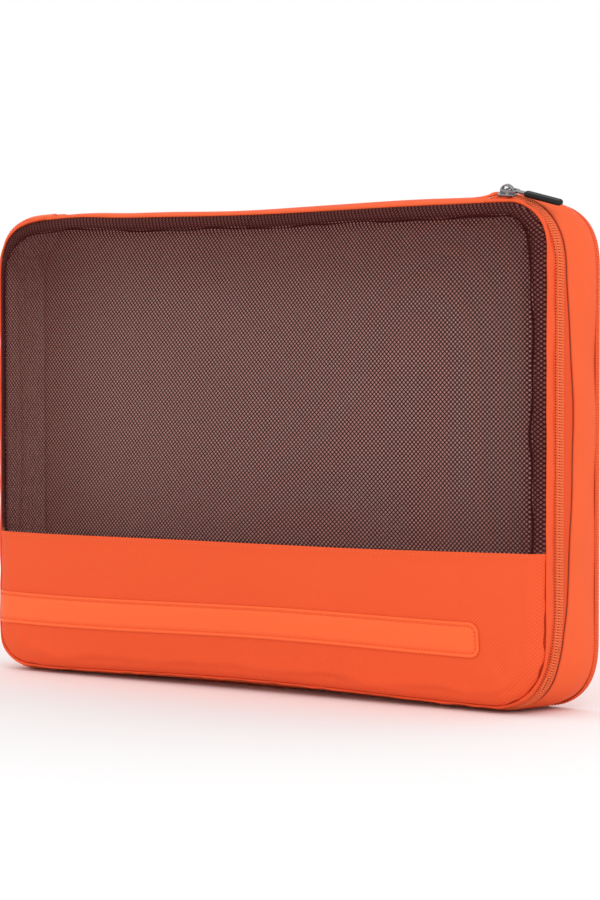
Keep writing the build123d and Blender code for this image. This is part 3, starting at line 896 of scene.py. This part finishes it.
def make_lower_panel():
    """The plain woven panel below the net, cut to the seam, with a turned top edge."""
    low = ZIP_LOW + SEAM_LOW + 0.1 * MM
    share = 1 - np.cos(np.linspace(0, QUARTER_TURN, 26))
    hem = SILL + np.array([-1.4, -0.7, -0.2, 0, -0.3]) * MM
    rows = np.concatenate([low + share * 30 * MM, run(low + 32 * MM, SILL - 3 * MM, 2 * MM), hem])
    left, right = seam_edge(rows, -1)[:, None], seam_edge(rows, 1)[:, None]
    reach = 1.25  # the columns lie closer together towards the two edges
    across = 0.5 + 0.5 * np.sin(np.linspace(-reach, reach, 221)) / math.sin(reach)
    x = left + (right - left) * across[None, :]
    z = np.repeat(rows[:, None], len(across), 1)
    y = panel_y(x, z)
    y[-2:] += np.array([[0.3], [0.9]]) * MM
    z = z + sill_rise(x, z)
    uv = np.stack([x, z], -1)
    return sheet("lower_panel_cloth", np.stack([x, y, z], -1), uv, [PANEL, COATING], 0.6 * MM)


def trim_wave(x):
    """How the strip wanders up and down along its length."""
    return -2.4 * MM - 1.3 * MM * bump(x, -0.075, 0.16)


def make_trim():
    """The smooth strip with a corded edge, open at the left seam and round at its right end."""
    half_high, right, radius = TRIM_HALF_HIGH, TRIM_RIGHT, 6.5 * MM
    edges = half_high - np.linspace(0, 5, 26) * MM
    v = np.concatenate([-edges, np.linspace(-3.6, 3.6, 7) * MM, edges[::-1]])
    past = np.clip(np.abs(v) - (half_high - radius), 0, radius)
    end = right - radius + np.sqrt(radius**2 - past**2)
    left = seam_edge(TRIM_MIDDLE + v, -1) + 0.2 * MM
    columns = np.concatenate([np.linspace(0, 0.95, 170), np.linspace(0.95, 1, 60)[1:]])
    x = left[:, None] + (end - left)[:, None] * columns[None, :]
    qx = np.maximum(x - (right - radius), 0)
    qv = np.maximum(np.abs(v) - (half_high - radius), 0)[:, None]
    straight = np.minimum(half_high - np.abs(v)[:, None], right - x)
    edge = np.where((qx > 0) & (qv > 0), radius - np.hypot(qx, qv), straight).clip(0)
    cord = np.sqrt(np.clip(1 - ((edge - 1.0 * MM) / (1.0 * MM)) ** 2, 0, 1)) * 0.9
    face = np.interp(edge / MM, [0, 1.9, 3.2, 4.0, 4.8, 20], [0, 0.3, 0.3, 0.6, 0.72, 0.75])
    lift = (0.3 + np.maximum(cord, face)) * MM
    z = TRIM_MIDDLE + v[:, None] + trim_wave(x)
    grid = np.stack([x, panel_y(x, z) - lift, z], -1)
    return sheet("trim_strip_cloth", grid, np.stack([x, z], -1), [SMOOTH], 0.3 * MM)


def make_seam_binding():
    """The narrow tape that binds the seam's raw edge inside the lid."""
    along = run(-TOP_MIDDLE, TOP_MIDDLE, 4 * MM)
    seam = seam_offset(along)
    loop = np.array([(-2.4, 1.4), (-1.8, 1.5), (-1.1, 2.8), (-1.9, 4.0), (-2.6, 2.8), (-2.4, 1.4)]) * MM
    shape = sections(along, lambda k: loop + np.array([seam[k], SEAM_Y]), 9)
    return strip("lid_seam_tape", along, shape, [LINING_TAPE], 0.3 * MM)


def make_sill_tape():
    """The tape behind the seam between the net and the panel."""
    rows = run(SILL - 6 * MM, SILL + 1 * MM, 1.5 * MM)
    left, right = seam_edge(rows, -1)[:, None] + 9 * MM, seam_edge(rows, 1)[:, None] - 9 * MM
    across = np.linspace(0, 1, 120)
    x = left + (right - left) * across[None, :]
    z = np.repeat(rows[:, None], len(across), 1)
    return sheet("sill_tape", front_points(x, z, -1.8 * MM), np.stack([x, z], -1), [LINING_TAPE], 0.4 * MM)


# painted shade: the dark sheet behind the net's rim
rim_shade_sheet = keep(make_net_rim_shade(), "hinge", "mesh")
crease_shade_cord = keep(make_crease_shade_cord(), "hinge", "mesh")
seam_tape = keep(make_seam_binding(), "hinge", "grosgrain", "lid_seam_binding")
sill_tape = keep(make_sill_tape(), "lid", "grosgrain", "window_seam_tape")
keep(make_net(), "hinge", "mesh", "mesh_window", sewn_to="front_band_cloth",
     carries=[rim_shade_sheet, crease_shade_cord, seam_tape])
keep(make_lower_panel(), "lid", "panel_fabric", "lower_panel", sewn_to="front_band_cloth",
     carries=[sill_tape])
keep(make_trim(), "lid", "smooth_trim", "trim_strip", sewn_to="lower_panel_cloth")


# ================= stitching =================
def sill_stitches():
    """The row close under the panel's top edge."""
    z = SILL - 2.0 * MM
    x = np.linspace(seam_edge(z, -1) + 2 * MM, seam_edge(z, 1) - 2 * MM, 400)
    z = np.full(len(x), z)
    points = settle(np.stack([x, panel_y(x, z), z + sill_rise(x, z)], -1))
    return stitches("sill_stitches", points, (0, -1, 0), THREAD, 1.4 * MM, 3.2 * MM, 0.18 * MM)


def trim_stitches():
    """The row in the groove, all round the strip."""
    inset, radius = 2.6 * MM, 3.9 * MM
    half, right = TRIM_HALF_HIGH - inset, TRIM_RIGHT - inset
    turn = np.linspace(-QUARTER_TURN, QUARTER_TURN, 15)
    left = seam_edge(TRIM_MIDDLE, -1) + 1 * MM
    straight = np.linspace(left, right - radius, 300)
    low = np.stack([straight, np.full(len(straight), -half)], -1)
    corner_x = right - radius + radius * np.cos(turn)
    corner_v = radius * np.sin(turn) + np.sign(turn) * (half - radius)
    end = np.stack([corner_x, corner_v], -1)
    high = low[::-1] * (1, -1)
    line = np.concatenate([low, end, high])
    x, v = line.T
    z = TRIM_MIDDLE + v + trim_wave(x)
    points = settle(np.stack([x, panel_y(x, z) - 0.55 * MM, z], -1))
    return stitches("trim_stitches", points, (0, -1, 0), DARK_THREAD, 1.7 * MM, 2.5 * MM, 0.22 * MM)


def seam_crease_shade_line():
    """A dark-orange line drawn into the crease of the panel's seam, deepest and thickest round the two
    lower corners: painted shade, standing in for the shadow in the crease.
    """
    reach = HALF - RADIUS + RADIUS * QUARTER_TURN + SILL - ZIP_LOW - RADIUS
    along = run(-reach, reach, 1.5 * MM)
    x, z, nx, nz = outline(along)
    corner = bump(np.abs(along), 0.215, 0.07)
    wander = 0.5 + 0.5 * np.sin(along / 0.0031) * np.sin(along / 0.0117 + 1)
    n = seam_offset(along, (1.0 + 1.1 * corner * (wander - 0.3)) * MM)
    x, z = x + nx * n, z + nz * n
    points = settle(front_points(x, z, 0.15 * MM))
    mesh = tube_mesh(points[None], (0.22 + corner * (0.25 + 0.3 * wander)) * MM, 6)
    return build("seam_crease_shade_line", *mesh, [SEAM_CREASE_SHADE])


def band_stitches():
    """The row that holds the band to the zip's tape."""
    n, y = zip_point(-4.5 * MM, 0.95 * MM)
    line, out = along_line(zip_run, n, y)
    return stitches("band_stitches", line, out, DARK_THREAD, 1.0 * MM, 1.8 * MM, 0.28 * MM)


def shade_row(name, n, y, radius):
    """A dark line beside the zip: painted shade, standing in for the shadow in a gap there."""
    line, _ = along_line(zip_run, n, y)
    return build(name, *tube_mesh(line[None], np.full(len(line), radius), 6), [ZIP_SHADE])


def zip_shade_line(name, side):
    """A dark line under a coil's outer bends: it shows between the loops as painted shade, standing in for
    the shadow in the gaps between them.
    """
    return shade_row(name, *zip_point(2.95 * MM * side, -0.1 * MM), 0.34 * MM)


def fold_shade_line():
    """A dark line close under the side wall's folded edge: painted shade, standing in for the shadow under
    the fold.
    """
    back = fold_back(zip_run)
    n = 1.25 * MM + 0.12 * (back - 5.6 * MM)
    return shade_row("fold_shade_line", n, ZIP_Y + back - 0.2 * MM, 0.22 * MM)


def binding_stitches():
    """The row along the rear binding's outer side."""
    line, out = along_line(whole_run, 2.42 * MM, ZIP_Y + 36.6 * MM)
    return stitches("binding_stitches", line, out, THREAD, 1.2 * MM, 2.2 * MM)


keep(band_stitches(), "hinge", "case_fabric")
keep(zip_shade_line("front_coil_shade_line", -1), "hinge", "zip_coil")
keep(zip_shade_line("rear_coil_shade_line", 1), "case", "zip_coil")
keep(fold_shade_line(), "case", "case_fabric")
keep(seam_crease_shade_line(), "lid", "case_fabric")
keep(sill_stitches(), "lid", "smooth_trim")
keep(trim_stitches(), "lid", "smooth_trim")
keep(binding_stitches(), "case", "grosgrain")

# ================= slider and pull =================
finishes = {"slider_body": SILVER, "slider_bridge": SILVER, "pull_link": SILVER, "pull_grip": RUBBER}
for name, finish in finishes.items():
    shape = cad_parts[name]
    shape.data.materials.clear()
    shape.data.materials.append(finish)

# ================= floor, light and camera =================
floor = collect(bpy.data.objects.new("floor", bpy.data.meshes.new("floor")))
reach = 12.0
floor_corners = [(-reach, -reach, 0), (reach, -reach, 0), (reach, reach, 0), (-reach, reach, 0)]
floor.data.from_pydata(floor_corners, [], [(0, 1, 2, 3)])
paper, _, paper_shader = start_material("paper", 0.9, specular=0.1)
paper_shader.inputs["Base Color"].default_value = (0.93, 0.93, 0.93, 1)
floor.data.materials.append(paper)

world = bpy.data.worlds.new("studio")
world.use_nodes = True
world.node_tree.nodes["Background"].inputs[0].default_value = (1, 1, 1, 1)
world.node_tree.nodes["Background"].inputs[1].default_value = 1.0
bpy.context.scene.world = world


LAMP_AIM = Vector((0, 0, 0.15))


def area_light(name, place, size, power):
    """A soft lamp that looks at LAMP_AIM."""
    data = bpy.data.lights.new(name, "AREA")
    data.shape = "RECTANGLE"
    data.size, data.size_y = size
    data.energy = power
    lamp = collect(bpy.data.objects.new(name, data))
    lamp.location = place
    lamp.rotation_euler = (LAMP_AIM - Vector(place)).to_track_quat("-Z", "Y").to_euler()


area_light("key", (1.5, -1.3, 1.4), (1.2, 1.2), 10)
area_light("fill", (-1.5, -1.8, 0.9), (1.4, 1.4), 3)

camera_data = bpy.data.cameras.new("camera")
camera_data.sensor_fit = "HORIZONTAL"
camera_data.sensor_width = 36
camera_data.lens = camera_data.sensor_width * 4.38  # a long lens
camera = collect(bpy.data.objects.new("camera", camera_data))
camera.location = (0.9800, -1.2980, 0.1985)
yaw, pitch = math.radians(36.417), math.radians(-1.774)
forward = Vector((-math.sin(yaw) * math.cos(pitch), math.cos(yaw) * math.cos(pitch), math.sin(pitch)))
camera.rotation_euler = forward.to_track_quat("-Z", "Y").to_euler()
bpy.context.scene.camera = camera
bpy.context.scene.view_settings.view_transform = "Standard"
